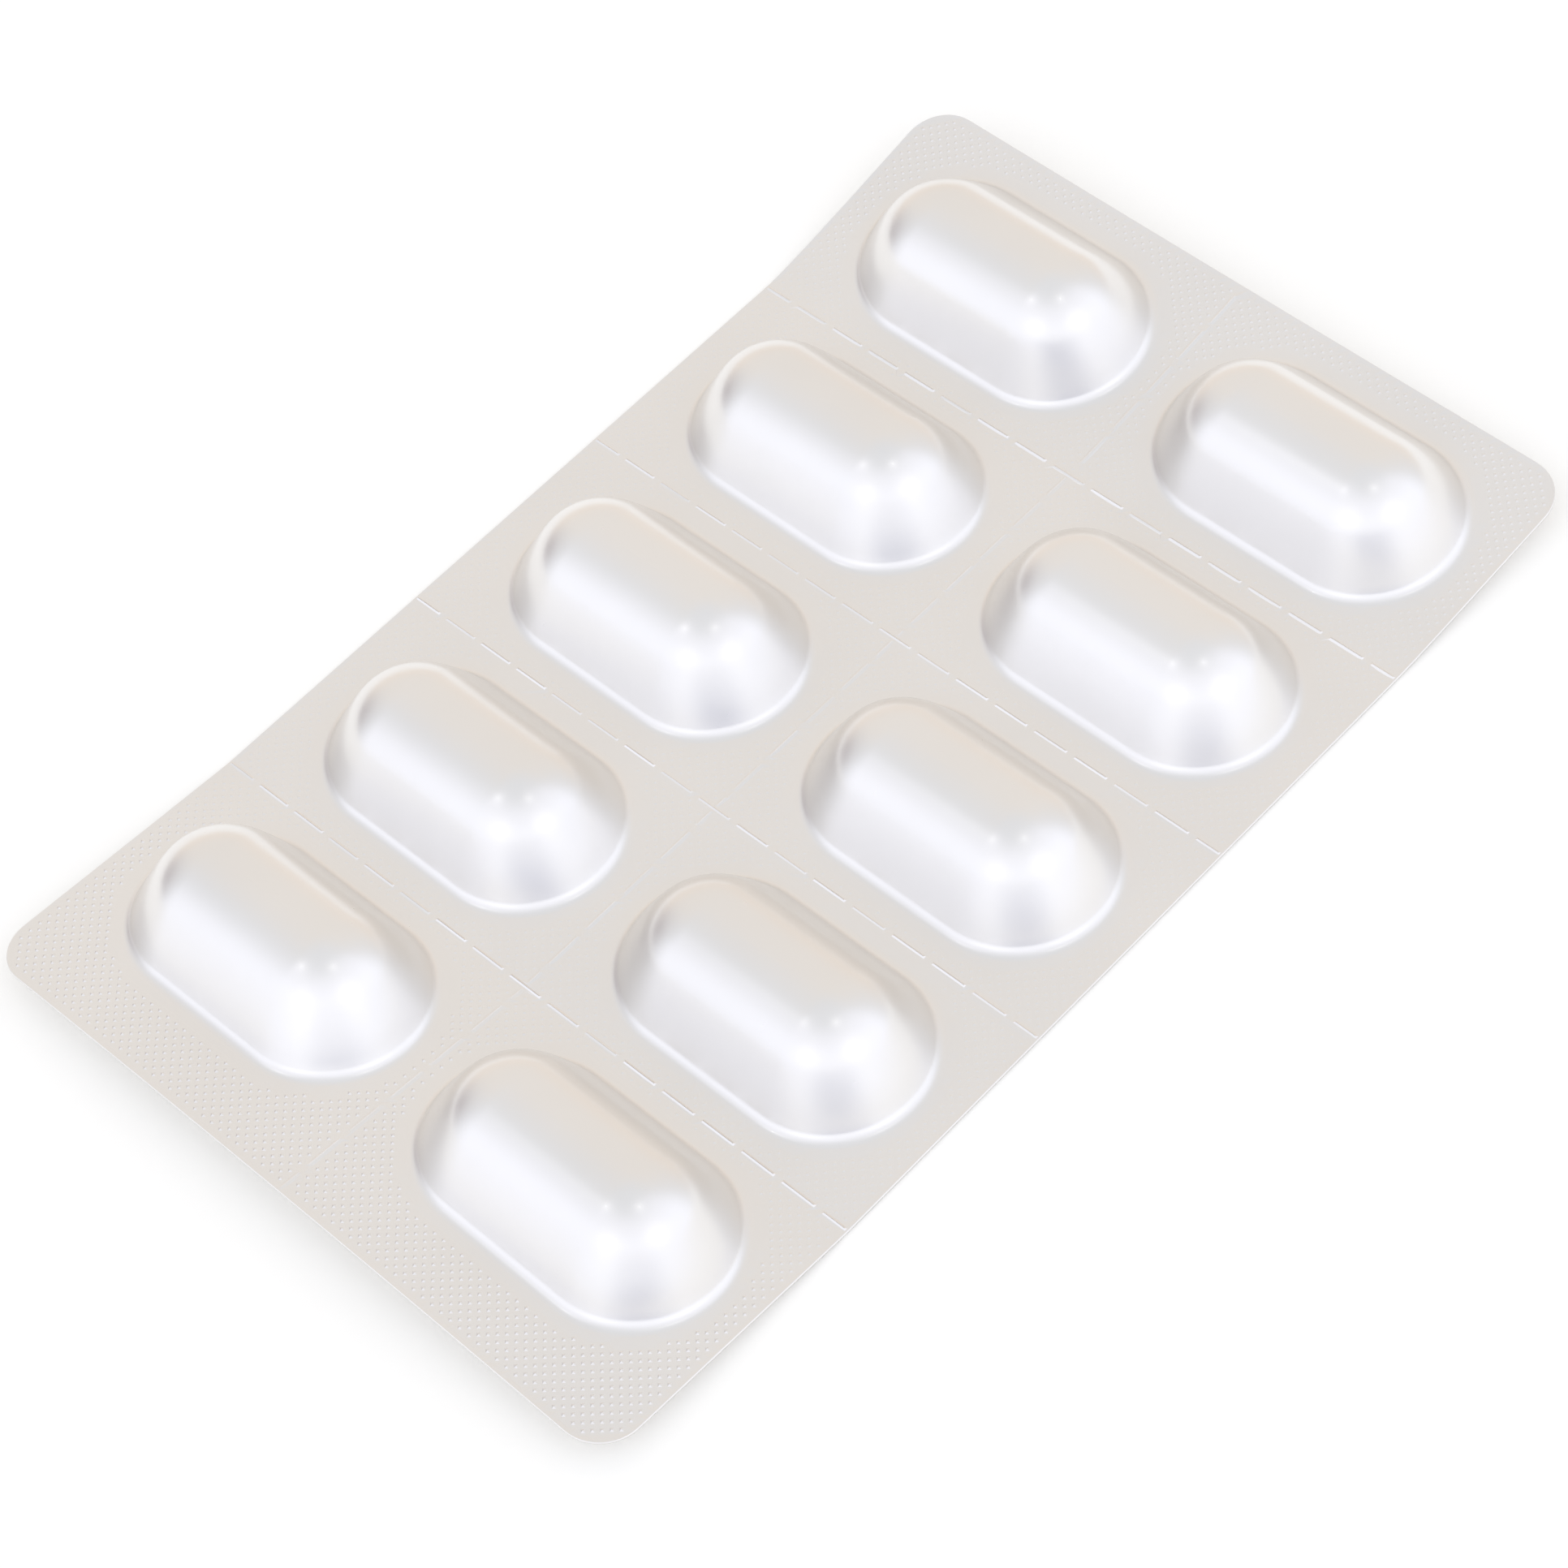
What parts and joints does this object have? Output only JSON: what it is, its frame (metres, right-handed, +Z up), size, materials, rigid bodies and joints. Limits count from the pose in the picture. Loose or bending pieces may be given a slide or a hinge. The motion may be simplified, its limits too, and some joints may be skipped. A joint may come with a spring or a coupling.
{
  "type": "pill blister pack",
  "caption": "Sealed foil blister pack with rows of long domed caplet pockets, a knurled flange, slit tear lines and gently curled ends.",
  "frame": {"origin": "centre of the pack's outline, on the level of the flat underside that it rests on", "axes": "+X along the pack's length to the end that curls up more, +Y across it, +Z up, out of the pockets' crowns"},
  "size_m": [0.1072, 0.066, 0.0091],
  "materials": {
    "foil": "satin"
  },
  "bodies": {
    "root": {"blister_pack": "foil"}
  },
  "joints": []
}
